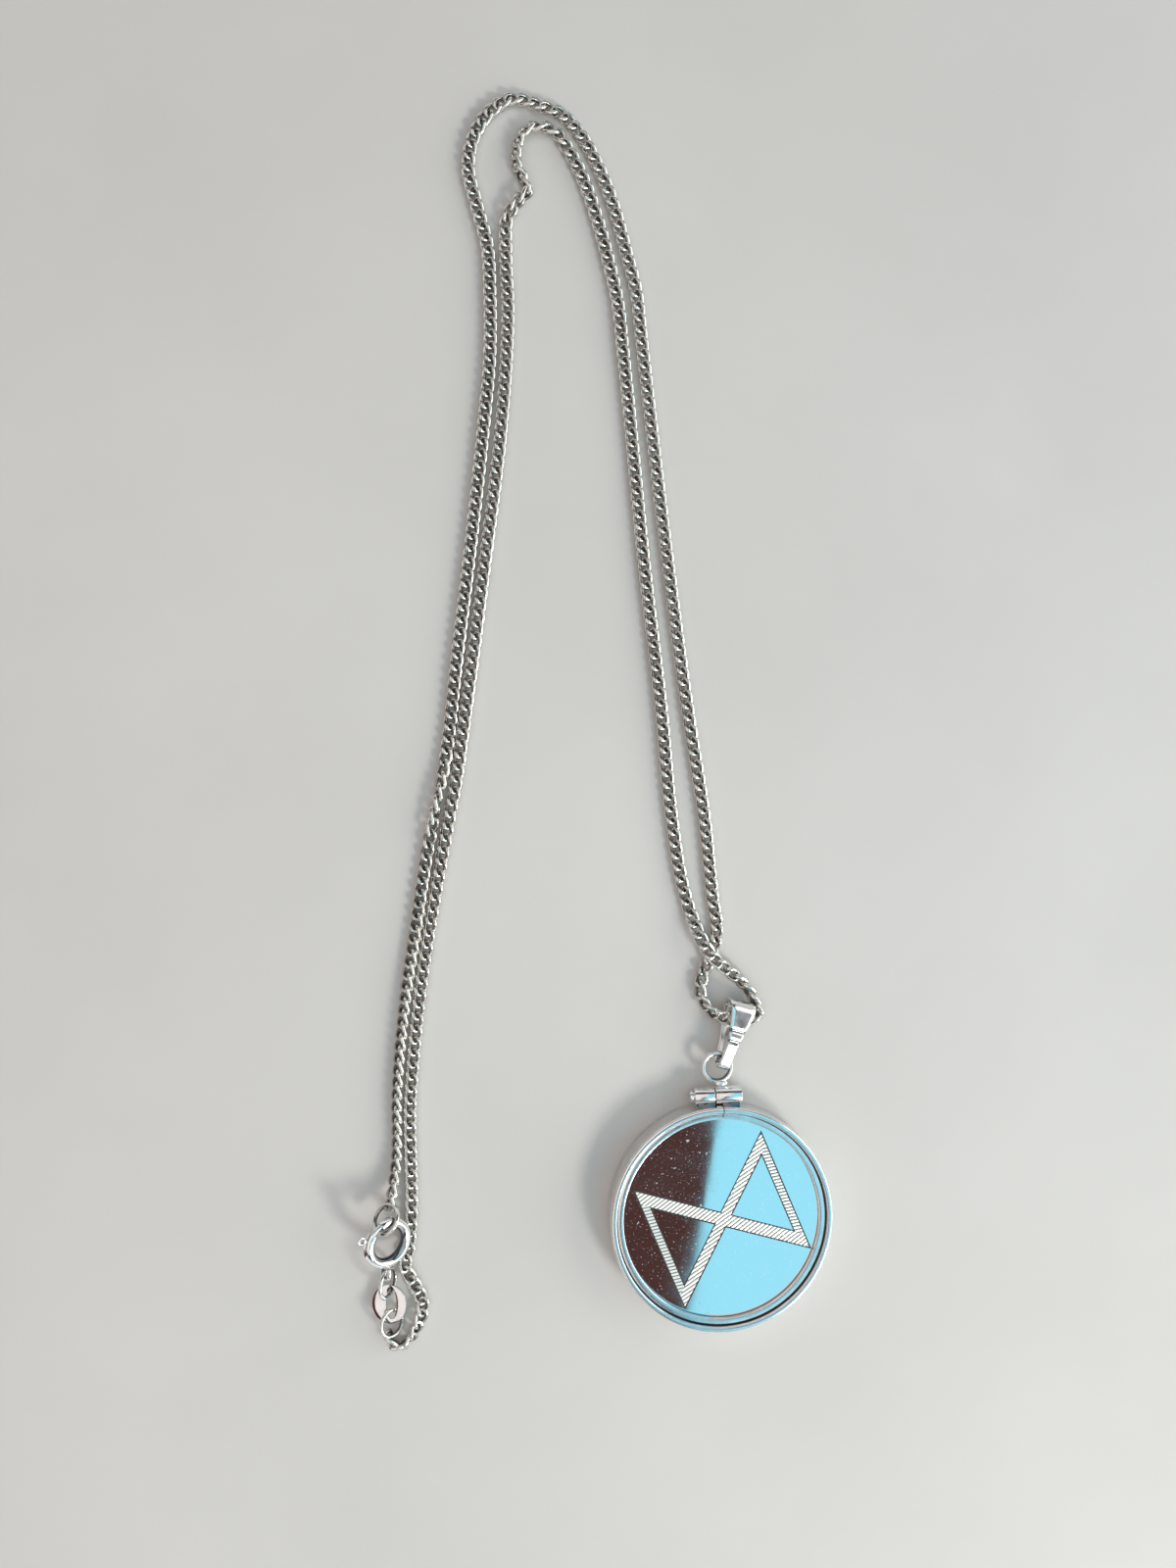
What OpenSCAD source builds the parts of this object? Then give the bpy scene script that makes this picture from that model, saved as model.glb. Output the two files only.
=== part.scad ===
// Disc pendant in a screw-top frame, hung by a tapered strap bail on a curb chain.
// It lies on a flat surface with the chain doubled beside itself, front face up.
// Millimetres, +Z up. X and Y are centred on the whole piece and Z is 0 on the surface.

/* [Medal disc] */
// Radius of the disc
disc_r = 13.6; // [13.5:0.05:13.65]
// Thickness of the disc
disc_t = 1.6; // [1.3:0.05:1.65]
// Radius of the circle that the figure's corners touch
figure_r = 13.0; // [11:0.1:13.0]
// Width of the figure's rising band
rising_w = 1.65; // [1.2:0.05:2.0]
// Width of the figure's falling band
falling_w = 1.85; // [1.2:0.05:2.0]
// Width of the figure's two side bands
side_w = 1.3; // [1.0:0.05:1.6]
// Depth that the bands are cut into the disc
band_cut = 0.08; // [0.04:0.01:0.2]

/* [Frame of the disc] */
// Outer radius of the frame
frame_r = 15.1; // [15.0:0.05:15.12]
// Front-to-back thickness of the frame
frame_t = 4.0; // [3.8:0.05:4.1]
// Radius of the round opening that shows the disc
window_r = 13.35; // [13.1:0.05:13.4]
// Rounding of the outer band's two edges
edge_r = 0.4; // [0.3:0.05:0.5]
// Turn of the frame about its centre, with its top toward the left
lean = 1.2; // [0:0.1:3]

/* [Screw closure] */
// Distance from the disc's centre to the screw's axis
screw_y = 16.3; // [16.3:0.02:16.36]
// Outer radius of the right knuckle
knuckle_r = 1.18; // [1.1:0.02:1.18]
// Radius of the screw's shank
shank_r = 0.55; // [0.45:0.05:0.55]

/* [Bail] */
// Length of the bail from its bend to its top
bail_l = 9.6; // [9.4:0.1:9.8]
// Width of the bail at its bend
bail_w0 = 1.66; // [1.4:0.02:1.8]
// Width of the bail at its top
bail_w1 = 4.0; // [3.4:0.1:4.1]
// Thickness of the strap that the bail is folded from
bail_t = 0.45; // [0.35:0.05:0.5]

/* [Chain] */
// Width of the chain across its flat face
chain_w = 1.9; // [1.6:0.05:1.9]
// Height of the chain over its flat face
chain_h = 1.2; // [1.0:0.05:1.2]

/* [Clasp] */
// Radius of the spring ring's centre line
clasp_r = 2.72; // [2.7:0.01:2.74]
// Radius of the spring ring's tube
tube_r = 0.7; // [0.6:0.01:0.71]
// Radius of the bolt that slides in the tube
bolt_r = 0.33; // [0.28:0.01:0.34]

/* [Hidden] */

silver = "Silver";
bright_silver = "Gainsboro";
far = 40;
$fn = 48;

pendant_at = [17.2, -67.0, frame_t / 2];

disc_gap = 0.05;
channel_r = frame_r - 1.35;
lip_t = 0.55;
lip_w = 0.85;
groove_w = 0.12;
groove_d = 0.15;
channel_h = disc_t / 2 + disc_gap;
lip_h = channel_h + lip_t;
band_in_r = window_r + lip_w + groove_w;
arc_steps = 5;

figure_at = [0.2, -0.3];
corner_t = 65;
corner_r = -21;
corner_b = 245.4;
corner_l = 159;

split_x = 0.38;
split_w = 0.12;
knuckle_x = [-3.25, -0.5, -0.4, 3.2];
lug_x = [-2.8, -0.6, 0.5, 2.9];
lug_t = 1.7;
shank_gap = 0.06;
screw_head_r = 0.75;
screw_head_l = 0.5;
loop_y = screw_y + 3.8;
loop_r = 1.9;
loop_wire_r = 0.34;
pad_x = [-0.35, 1.3];

bail_at = [17.24, -47.12, frame_t / 2];
bail_turn = -17.9;
bail_roll = 14;
bail_narrow = 4.0;
crease_d = 0.08;
crease_w = 0.25;
crease_u = [4.1, 5.7];

clasp_at = [-27.25, -68.51, 3.48];
clasp_turn = [5.7, 34.9, 0];
bore_r = bolt_r + 0.07;
gap_from = 115;
gap_to = 145;
slot_from = 156.5;
slot_to = 204.5;
slot_h = 0.44;
bolt_from = 111;
bolt_to = 206.5;
nub_angle = 163.5;
nub_in = clasp_r + 0.15;
nub_out = 4.05;
nub_w = 0.34;
nub_loop_r = 0.42;
nub_wire_r = 0.15;
eyelet_r = 0.9;
eyelet_wire_r = 0.25;
eyelet_y = -4.05;

jump_ring_at = [-27.48, -65.57, 3.12];
jump_ring_turn = [-31.3, -39.2, 0];
tag_link_at = [-27.3, -74.3, 2.26];
tag_link_turn = [2.9, 63.2, 0];
tag_at = [-27.16, -77.45, 1.36];
tag_turn = [0.7, -13.8, 0];
end_link_at = [-26.83, -79.94, 1.48];
end_link_turn = [-2.4, 40.8, 0];
jump_r = 1.84;
jump_wire_r = 0.31;
link_r = 1.89;
link_wire_r = 0.27;
end_link_r = 1.7;
end_link_wire_r = 0.26;
tag_t = 0.4;
tag_half = [2.35, 2.6];
tag_hole_half = [0.68, 2.0];
tag_hole_at = [0.3, 0.1];
tag_sides = 40;

// Chain route: x, y, height of the centre line, and roll (0 lies flat, 90 stands on edge).
// It runs from the jump ring round the outer strand, through the bail and back inside it.
ROUTE = [
    [-26.9, -63.3, 2.0, 65], [-26.6, -61.4, 1.35, 65], [-26.3, -59.0, 1.0, 65],
    [-26.2, -50.3, 0.95, 65], [-25.1, -37.3, 0.9, 55], [-23.6, -26.9, 0.75, 25],
    [-22.0, -16.4, 0.65, 0], [-21.2, -12.2, 0.95, -70], [-20.5, -9.0, 0.95, -110],
    [-19.7, -4.4, 0.65, -180], [-18.4, 7.2, 0.65, -180], [-16.5, 23.0, 0.65, -180],
    [-14.8, 38.8, 0.65, -180], [-13.9, 49.3, 0.65, -180], [-13.9, 57.0, 0.65, -180],
    [-14.3, 63.8, 0.65, -180], [-15.7, 69.0, 0.65, -180], [-16.8, 74.2, 0.65, -180],
    [-16.1, 78.1, 0.65, -180], [-14.0, 81.5, 0.65, -180], [-11.0, 83.5, 0.7, -160],
    [-7.6, 82.9, 0.7, -160], [-4.2, 81.7, 0.65, -180], [-1.9, 79.4, 0.65, -180],
    [0.5, 75.3, 0.65, -180], [2.5, 70.5, 0.65, -180], [4.5, 63.5, 0.65, -180],
    [5.9, 58.0, 0.65, -180], [6.5, 52.7, 0.65, -180], [10.5, 19.5, 0.65, -180],
    [12.9, 2.1, 0.65, -180], [15.4, -13.9, 0.65, -180], [16.5, -24.6, 0.65, -180],
    [17.0, -28.6, 0.65, -180], [16.2, -32.0, 0.65, -180], [14.9, -34.9, 0.8, -210],
    [14.8, -37.4, 1.2, -245], [15.9, -39.2, 1.8, -235], [17.6, -40.2, 2.0, -200],
    [19.5, -40.8, 1.55, -180], [21.4, -40.8, 1.1, -160], [22.7, -39.6, 1.0, -110],
    [22.1, -37.8, 1.0, -100], [20.0, -35.2, 1.0, -130], [18.1, -33.7, 1.5, -170],
    [16.3, -32.1, 2.0, -180], [14.8, -29.9, 1.9, -180], [13.3, -26.0, 0.8, -180],
    [12.0, -21.0, 0.65, -180], [10.9, -13.9, 0.65, -180], [9.3, 2.1, 0.65, -180],
    [7.2, 19.5, 0.65, -180], [4.1, 50.0, 0.65, -180], [3.3, 57.0, 0.65, -180],
    [2.2, 61.8, 0.65, -180], [0.5, 68.0, 0.65, -180], [-1.4, 73.3, 0.65, -180],
    [-3.2, 76.8, 0.65, -180], [-5.2, 79.3, 0.75, -210], [-7.4, 79.9, 0.85, -230],
    [-9.4, 78.9, 0.9, -240], [-10.3, 76.4, 0.9, -245], [-10.2, 74.2, 0.95, -250],
    [-9.3, 72.5, 1.0, -265], [-9.0, 71.0, 1.0, -280], [-10.3, 69.5, 0.95, -300],
    [-11.6, 67.4, 0.7, -345], [-11.8, 63.5, 0.65, -360], [-11.5, 54.7, 0.65, -360],
    [-12.0, 44.1, 0.65, -360], [-15.0, 17.7, 0.65, -360], [-17.0, 2.0, 0.65, -360],
    [-18.5, -8.6, 0.65, -360], [-19.6, -14.6, 0.65, -360], [-23.4, -38.5, 0.65, -360],
    [-24.4, -50.0, 0.65, -360], [-24.7, -70.6, 0.65, -360], [-25.1, -73.0, 0.65, -360],
    [-24.0, -75.0, 0.65, -360], [-22.8, -78.0, 0.65, -350], [-23.5, -80.7, 0.85, -320],
    [-24.7, -82.6, 0.95, -290], [-26.1, -83.4, 1.1, -275], [-26.7, -82.4, 1.3, -270],
];
chain_sides = 8;

// Points along an arc in a plane
function arc_points(centre, r, from, to, steps) =
    [for (i = [0:steps])
        let (a = from + (to - from) * i / steps)
        centre + r * [cos(a), sin(a)]];

// Point on the figure's circle
function corner(angle) = figure_at + figure_r * [cos(angle), sin(angle)];

// Line through two points, moved sideways to its left by a distance
function side_line(a, b, shift) =
    let (d = (b - a) / norm(b - a), n = [-d.y, d.x])
    [a + n * shift, d];

// Direction of a band whose one edge starts at a and whose other edge, a width to its left, ends at b
function band_way(a, b, width) =
    let (d = (b - a) / norm(b - a), turn = -asin(width / norm(b - a)))
    [d.x * cos(turn) - d.y * sin(turn), d.x * sin(turn) + d.y * cos(turn)];

// Where two lines cross
function crossing(p, q) =
    let (w = q[0] - p[0], det = p[1].x * q[1].y - p[1].y * q[1].x)
    p[0] + p[1] * (w.x * q[1].y - w.y * q[1].x) / det;

module in_pendant() {
    translate(pendant_at) rotate([0, 0, lean]) children();
}

module in_clasp() {
    translate(clasp_at) rotate(clasp_turn) children();
}

// Closed round ring of wire, lying in its own XY plane
module wire_ring(ring_r, wire_r, from = 0, sweep = 360) {
    rotate([0, 0, from])
        rotate_extrude(angle = sweep)
            translate([ring_r, 0]) circle(r = wire_r);
}

// Flat band figure: two triangles that meet tip to tip, with their long sides crossing
module figure_bands() {
    t = corner(corner_t);
    r = corner(corner_r);
    b = corner(corner_b);
    l = corner(corner_l);
    rising_way = band_way(b, t, rising_w);
    falling_way = band_way(l, r, -falling_w);
    rising = [t, rising_way];
    rising_low = [b, rising_way];
    falling = [l, falling_way];
    falling_low = [r, falling_way];
    right_in = side_line(r, t, side_w);
    left_in = side_line(l, b, side_w);
    difference() {
        polygon([t, r, crossing(falling_low, rising_low), b, l, crossing(falling, rising)]);
        polygon([crossing(falling, rising_low), crossing(falling, right_in),
                 crossing(rising_low, right_in)]);
        polygon([crossing(falling_low, rising), crossing(falling_low, left_in),
                 crossing(rising, left_in)]);
    }
}

module medal_disc() {
    color(bright_silver)
        in_pendant()
            difference() {
                cylinder(r = disc_r, h = disc_t, center = true);
                translate([0, 0, disc_t / 2 - band_cut])
                    linear_extrude(height = 1) figure_bands();
            }
}

// Half of the frame's cross-section, from the channel round the front to the middle plane
function frame_half() = concat(
    [[channel_r, channel_h], [window_r, channel_h], [window_r, lip_h - 0.1], [window_r + 0.1, lip_h],
     [window_r + lip_w - 0.1, lip_h], [window_r + lip_w, lip_h - groove_d],
     [band_in_r, lip_h - groove_d], [band_in_r, frame_t / 2 - 0.12], [band_in_r + 0.1, frame_t / 2]],
    arc_points([frame_r - edge_r, frame_t / 2 - edge_r], edge_r, 90, 0, arc_steps));

module frame_section() {
    upper = frame_half();
    lower = [for (i = [len(upper) - 1:-1:0]) [upper[i].x, -upper[i].y]];
    polygon(concat(upper, lower));
}

module along_x(x0, x1, r) {
    translate([x0, screw_y, 0]) rotate([0, 90, 0]) cylinder(r = r, h = x1 - x0);
}

module lug(x0, x1) {
    translate([x0, frame_r - 0.5, -lug_t / 2]) cube([x1 - x0, screw_y - frame_r + 0.3, lug_t]);
}

module disc_frame() {
    color(silver)
        in_pendant() {
            difference() {
                union() {
                    rotate_extrude() frame_section();
                    lug(lug_x[0], lug_x[1]);
                    lug(lug_x[2], lug_x[3]);
                    along_x(knuckle_x[0], knuckle_x[1], knuckle_r - 0.06);
                    along_x(knuckle_x[2], knuckle_x[3], knuckle_r);
                    translate([pad_x[0], screw_y + 0.9, -loop_wire_r])
                        cube([pad_x[1] - pad_x[0], loop_y - loop_r - screw_y - 0.8, 2 * loop_wire_r]);
                    translate([0, loop_y, 0]) wire_ring(loop_r, loop_wire_r);
                }
                translate([split_x, frame_r - 3, -frame_t]) cube([split_w, 3.02, 2 * frame_t]);
                along_x(-far, far, shank_r + shank_gap);
                cylinder(r = window_r, h = 2 * frame_t, center = true);
            }
        }
}

module closure_screw() {
    color(silver)
        in_pendant() {
            along_x(knuckle_x[0] - 0.2, knuckle_x[3] - 0.1, shank_r);
            along_x(knuckle_x[0] - 0.1 - screw_head_l, knuckle_x[0] - 0.1, screw_head_r);
        }
}

// Outline of the folded strap seen from its side: along the bail, and out to its front
function bail_outline(inset) = concat(
    arc_points([bail_l - 1.55, 0], 1.55 - inset, -90, 90, 16),
    arc_points([4.6, 0], 1.6 - inset, 92, 99, 1),
    arc_points([1.05, 0], 1.05 - inset, 99, 261, 12),
    arc_points([4.6, 0], 1.6 - inset, 261, 268, 1));

module bail() {
    color(silver)
        translate(bail_at) rotate([0, 0, bail_turn]) rotate([0, bail_roll, 0])
            intersection() {
                rotate([90, 0, 90])
                    linear_extrude(height = 2 * bail_w1, center = true)
                        difference() {
                            polygon(bail_outline(0));
                            polygon(bail_outline(bail_t));
                            for (u = crease_u)
                                translate([u - crease_w / 2, 1.6 - crease_d]) square([crease_w, 1]);
                        }
                linear_extrude(height = 10, center = true)
                    polygon([[-bail_w0 / 2, -1], [bail_w0 / 2, -1], [bail_w0 / 2, bail_narrow],
                             [bail_w1 / 2, bail_l + 0.1], [-bail_w1 / 2, bail_l + 0.1],
                             [-bail_w0 / 2, bail_narrow]]);
            }
}

// Flat oval tube along the route
function route_at(i) = [ROUTE[i].x, ROUTE[i].y, ROUTE[i].z];
function unit(v) = v / norm(v);
function heading(i) =
    unit(route_at(min(i + 1, len(ROUTE) - 1)) - route_at(max(i - 1, 0)));

function chain_ring(i) =
    let (t = heading(i), side = unit(cross(t, [0, 0, 1])), up = cross(side, t), roll = ROUTE[i][3])
    [for (k = [0:chain_sides - 1])
        let (a = 360 * (k + 0.5) / chain_sides,
             x = chain_w / 2 * cos(a), y = chain_h / 2 * sin(a))
        route_at(i) + side * (x * cos(roll) - y * sin(roll)) + up * (x * sin(roll) + y * cos(roll))];

module chain() {
    n = len(ROUTE);
    s = chain_sides;
    points = [for (i = [0:n - 1]) each chain_ring(i)];
    sides = [for (i = [0:n - 2], k = [0:s - 1])
        [i * s + k, i * s + (k + 1) % s, (i + 1) * s + (k + 1) % s, (i + 1) * s + k]];
    first = [for (k = [s - 1:-1:0]) k];
    last = [for (k = [0:s - 1]) (n - 1) * s + k];
    color(silver)
        polyhedron(points = points, faces = concat([first], sides, [last]));
}

module jump_ring() {
    color(silver)
        translate(jump_ring_at) rotate(jump_ring_turn) wire_ring(jump_r, jump_wire_r);
}

module clasp_ring() {
    color(silver)
        in_clasp() {
            difference() {
                union() {
                    wire_ring(clasp_r, tube_r, gap_to, 360 - gap_to + gap_from);
                    translate([0, eyelet_y, 0]) rotate([0, 90, 0])
                        wire_ring(eyelet_r, eyelet_wire_r);
                }
                wire_ring(clasp_r, bore_r, gap_to - 1, 360 - gap_to + gap_from + 2);
                rotate([0, 0, slot_from])
                    rotate_extrude(angle = slot_to - slot_from)
                        translate([clasp_r, -slot_h / 2]) square([tube_r + 1, slot_h]);
            }
        }
}

module clasp_bolt() {
    color(silver)
        in_clasp() {
            wire_ring(clasp_r, bolt_r, bolt_from, bolt_to - bolt_from);
            rotate([0, 0, nub_angle]) {
                translate([nub_in, -nub_w / 2, -nub_wire_r])
                    cube([nub_out - nub_loop_r - nub_in, nub_w, 2 * nub_wire_r]);
                translate([nub_out, 0, 0]) wire_ring(nub_loop_r, nub_wire_r);
            }
        }
}

module tag_link() {
    color(silver)
        translate(tag_link_at) rotate(tag_link_turn) wire_ring(link_r, link_wire_r);
}

// Ellipse as a polygon
module oval(half, sides) {
    polygon([for (i = [0:sides - 1])
        let (a = 360 * i / sides)
        [half.x * cos(a), half.y * sin(a)]]);
}

module tag() {
    color(bright_silver)
        translate(tag_at) rotate(tag_turn)
            linear_extrude(height = tag_t, center = true)
                difference() {
                    oval(tag_half, tag_sides);
                    translate(tag_hole_at) oval(tag_hole_half, tag_sides);
                }
}

module end_link() {
    color(silver)
        translate(end_link_at) rotate(end_link_turn) wire_ring(end_link_r, end_link_wire_r);
}

medal_disc();
disc_frame();
closure_screw();
bail();
chain();
jump_ring();
clasp_ring();
clasp_bolt();
tag_link();
tag();
end_link();
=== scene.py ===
# A pendant necklace on a table: an engraved mirror disc in a screw-top frame, with its bail and its chain.
import math

import bmesh
import bpy
from mathutils import Matrix, Vector


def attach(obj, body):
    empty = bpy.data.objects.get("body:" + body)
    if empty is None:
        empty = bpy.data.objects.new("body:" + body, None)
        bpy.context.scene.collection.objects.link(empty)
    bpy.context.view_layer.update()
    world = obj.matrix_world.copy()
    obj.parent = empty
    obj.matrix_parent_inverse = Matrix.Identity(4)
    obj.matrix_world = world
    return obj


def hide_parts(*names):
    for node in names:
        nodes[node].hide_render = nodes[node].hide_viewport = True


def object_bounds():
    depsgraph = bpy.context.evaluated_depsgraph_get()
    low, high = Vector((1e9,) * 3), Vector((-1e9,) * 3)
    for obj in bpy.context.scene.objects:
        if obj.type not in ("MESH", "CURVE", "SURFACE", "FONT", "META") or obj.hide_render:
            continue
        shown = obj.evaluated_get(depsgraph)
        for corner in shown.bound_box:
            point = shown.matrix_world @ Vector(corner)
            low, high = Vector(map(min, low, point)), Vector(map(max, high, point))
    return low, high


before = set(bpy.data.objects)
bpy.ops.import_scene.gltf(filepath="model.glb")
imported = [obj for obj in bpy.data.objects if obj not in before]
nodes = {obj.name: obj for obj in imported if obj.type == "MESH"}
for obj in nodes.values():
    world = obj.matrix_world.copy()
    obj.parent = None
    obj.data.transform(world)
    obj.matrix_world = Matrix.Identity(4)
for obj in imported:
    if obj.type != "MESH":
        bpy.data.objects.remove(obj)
cad_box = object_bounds()


# Table and camera.
# The piece lies on a level top and is seen from nearly overhead, by a camera held a little to its left.
# The top is a plain pale board with a faint mottle, and it isn't part of the piece.
MM = 0.001
CAMERA_AT = Vector((-15.78, -8.55, 159.28)) * MM
CAMERA_TILT = 0.095
LENS_MM = 27.05
SENSOR_MM = 36
NEAREST = 0.01
TABLE_SIDE = 1.7
TABLE_DROP = 0.02 * MM
BOARD_DARK = (0.67, 0.655, 0.63)
BOARD_LIGHT = (0.72, 0.705, 0.68)
# The mix node has a socket of the same name for each kind of value, so its colours go by number.
MIX_LOW = 6
MIX_HIGH = 7
MIX_COLOUR = 2

camera = bpy.data.objects.new("camera", bpy.data.cameras.new("camera"))
camera.data.lens = LENS_MM
camera.data.sensor_width = SENSOR_MM
camera.data.clip_start = NEAREST
camera.location = CAMERA_AT
camera.rotation_euler = (0, -CAMERA_TILT, 0)
bpy.context.scene.collection.objects.link(camera)
bpy.context.scene.camera = camera


def new_piece(name, mesh_maker):
    """Keeps a finished bmesh as an object whose place is in its mesh."""
    mesh = bpy.data.meshes.new(name)
    mesh_maker.to_mesh(mesh)
    mesh_maker.free()
    piece = bpy.data.objects.new(name, mesh)
    bpy.context.scene.collection.objects.link(piece)
    return piece


class Amount:
    """A number in a material, which is reckoned with as in ordinary sums."""

    def __init__(self, finish, socket):
        self.finish = finish
        self.socket = socket

    def reckon(self, operation, *values):
        return self.finish.node("ShaderNodeMath", {"operation": operation}, dict(enumerate(values)))

    def __add__(self, other):
        return self.reckon("ADD", self, other)

    def __radd__(self, other):
        return self.reckon("ADD", other, self)

    def __sub__(self, other):
        return self.reckon("SUBTRACT", self, other)

    def __rsub__(self, other):
        return self.reckon("SUBTRACT", other, self)

    def __mul__(self, other):
        return self.reckon("MULTIPLY", self, other)

    def __rmul__(self, other):
        return self.reckon("MULTIPLY", other, self)

    def over(self, low, high):
        """0 up to low, 1 from high on, and a straight climb between them."""
        return self.finish.node(
            "ShaderNodeMapRange", {"clamp": True}, {"Value": self, "From Min": low, "From Max": high}
        )


class Finish:
    """A material, or the world round the piece, with a short way to add its nodes."""

    def __init__(self, name, kind="materials", shader="Principled BSDF", places="Object", **surface):
        self.material = getattr(bpy.data, kind).new(name)
        self.material.use_nodes = True
        self.tree = self.material.node_tree
        self.shader = self.tree.nodes[shader]
        self.places = self.node("ShaderNodeTexCoord", output=places)
        self.set(**surface)

    def node(self, kind, settings=None, inputs=None, output=0):
        made = self.tree.nodes.new(kind)
        for setting, value in (settings or {}).items():
            if setting == "stops":
                for index, (at, colour) in enumerate(value):
                    stop = made.color_ramp.elements[index]
                    stop.position = at
                    stop.color = (*colour, 1)
            else:
                setattr(made, setting, value)
        for socket, value in (inputs or {}).items():
            self.feed(made.inputs[socket], value)
        return Amount(self, made.outputs[output])

    def feed(self, socket, value):
        if isinstance(value, Amount):
            self.tree.links.new(value.socket, socket)
        else:
            socket.default_value = value

    def set(self, **surface):
        for name, value in surface.items():
            self.feed(self.shader.inputs[name.replace("_", " ").title()], value)

    def noise(self, per_mm, detail=4, roughness=0.55, stretch=(1, 1, 1)):
        """Mottle between 0 and 1, with about so many patches to a millimetre."""
        spread = self.node("ShaderNodeMapping", {}, {"Vector": self.places, "Scale": stretch})
        return self.node(
            "ShaderNodeTexNoise",
            {},
            {"Vector": spread, "Scale": per_mm / MM, "Detail": detail, "Roughness": roughness},
        )

    def mix(self, amount, low, high):
        """A colour between two, each a node's output or four numbers."""
        sockets = {"Factor": amount, MIX_LOW: low, MIX_HIGH: high}
        return self.node("ShaderNodeMix", {"data_type": "RGBA"}, sockets, output=MIX_COLOUR)

    def blend(self, amount, low, high):
        """A colour between two plain ones, by an amount from 0 to 1."""
        return self.mix(amount, (*low, 1), (*high, 1))

    def paint_over(self, amount, colour):
        """Lays a colour over the base colour, by an amount from 0 to 1."""
        under = Amount(self, self.shader.inputs["Base Color"].links[0].from_socket)
        self.set(base_color=self.mix(amount, under, (*colour, 1)))

    def relief(self, height, depth_mm):
        """Raises the surface by a height from 0 to 1, as bump of so many millimetres."""
        self.set(normal=self.node("ShaderNodeBump", {}, {"Height": height, "Distance": depth_mm * MM}))

    def coat(self, piece, *slots):
        """Gives a piece this finish. Clearing a mesh's materials also forgets which face has which."""
        if piece.data.materials:
            piece.data.materials.clear()
        piece.data.materials.append(self.material)


table_maker = bmesh.new()
bmesh.ops.create_grid(table_maker, x_segments=2, y_segments=2, size=TABLE_SIDE / 2)
bmesh.ops.translate(table_maker, verts=table_maker.verts, vec=(0, 0, -TABLE_DROP))
table = new_piece("table_top", table_maker)
table_finish = Finish("pale_board", roughness=0.62)
board = table_finish.noise(0.02, detail=6)
table_finish.set(base_color=table_finish.blend(board.over(0.3, 0.7), BOARD_DARK, BOARD_LIGHT))
table_finish.coat(table)


# Light.
# A pale blue panel hangs over the right half and a neutral one over the left, and the disc's left half
# mirrors the dark gap between their near ends. A white panel stands at the right, weak ones fill in from
# both ends, and a small key gives the shadows. The studio round them is pale low down and dark above.
# Each panel has its middle and its two sides in metres, its colour, its watts and its turn.
SKEW = math.radians(-9)
UPRIGHT = math.pi / 2
WHITE_LEAN = math.radians(65)
PANELS = {
    "blue_panel": ((0.285, -0.174, 0.55), (0.294, 0.95), (0.27, 0.80, 1.0), 0.87, (0, 0, SKEW)),
    "soft_panel": ((-0.252, -0.123, 0.55), (0.62, 0.95), (1.0, 0.98, 0.95), 1.6, (0, 0, SKEW)),
    "bridge_panel": ((0.141, 0.125, 0.55), (0.087, 0.46), (1.0, 0.98, 0.95), 0.11, (0, 0, SKEW)),
    "white_panel": ((0.80, -0.10, 0.36), (0.50, 1.10), (1.0, 0.99, 0.96), 4.2, (0, WHITE_LEAN, 0)),
    "far_panel": ((-0.05, 0.62, 0.24), (1.1, 0.36), (0.86, 0.95, 1.0), 0.6, (-UPRIGHT, 0, 0)),
    "near_panel": ((-0.05, -0.72, 0.24), (1.1, 0.36), (0.80, 0.93, 1.0), 0.7, (UPRIGHT, 0, 0)),
}
KEY_AT = Vector((0.40, -0.48, 0.42))
KEY_SIDE = (0.16, 0.16)
KEY_COLOUR = (1.0, 0.96, 0.90)
KEY_WATTS = 2.4
STUDIO_LOW = (0.16, (0.60, 0.60, 0.59))
STUDIO_HIGH = (0.42, (0.072, 0.032, 0.029))


def panel(name, at, sides, colour, watts, turn):
    """A soft rectangular light, which the camera itself doesn't see."""
    light = bpy.data.lights.new(name, "AREA")
    light.shape = "RECTANGLE"
    light.size, light.size_y = sides
    light.color = colour
    light.energy = watts
    lamp = bpy.data.objects.new(name, light)
    lamp.location = at
    lamp.rotation_euler = turn
    lamp.visible_camera = False
    bpy.context.scene.collection.objects.link(lamp)


for name, settings in PANELS.items():
    panel(name, *settings)
key_turn = (-KEY_AT).to_track_quat("-Z", "Y").to_euler()
panel("key_panel", KEY_AT, KEY_SIDE, KEY_COLOUR, KEY_WATTS, key_turn)

studio = Finish("studio", kind="worlds", shader="Background", places="Generated", strength=1.0)
climb = studio.node("ShaderNodeSeparateXYZ", {}, {"Vector": studio.places}, output="Z")
studio.set(color=studio.node("ShaderNodeValToRGB", {"stops": (STUDIO_LOW, STUDIO_HIGH)}, {"Fac": climb}))
bpy.context.scene.world = studio.material
bpy.context.scene.view_settings.view_transform = "Standard"


# Medal disc.
# A flat round silver disc, polished to a mirror, with handling scratches and specks. The frame holds it by
# its edge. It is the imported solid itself, whose shallow recess takes the engraving.
PENDANT_AT = Vector((17.2, -67.0, 2.0)) * MM
PENDANT_LEAN = math.radians(1.2)
DISC_FACE = 0.8 * MM
MIRROR_TINT = (0.93, 0.935, 0.93)
DUST_TINT = (0.80, 0.78, 0.75)
MIRROR_ROUGH = 0.035
WIPE_MM = 0.0002

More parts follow.
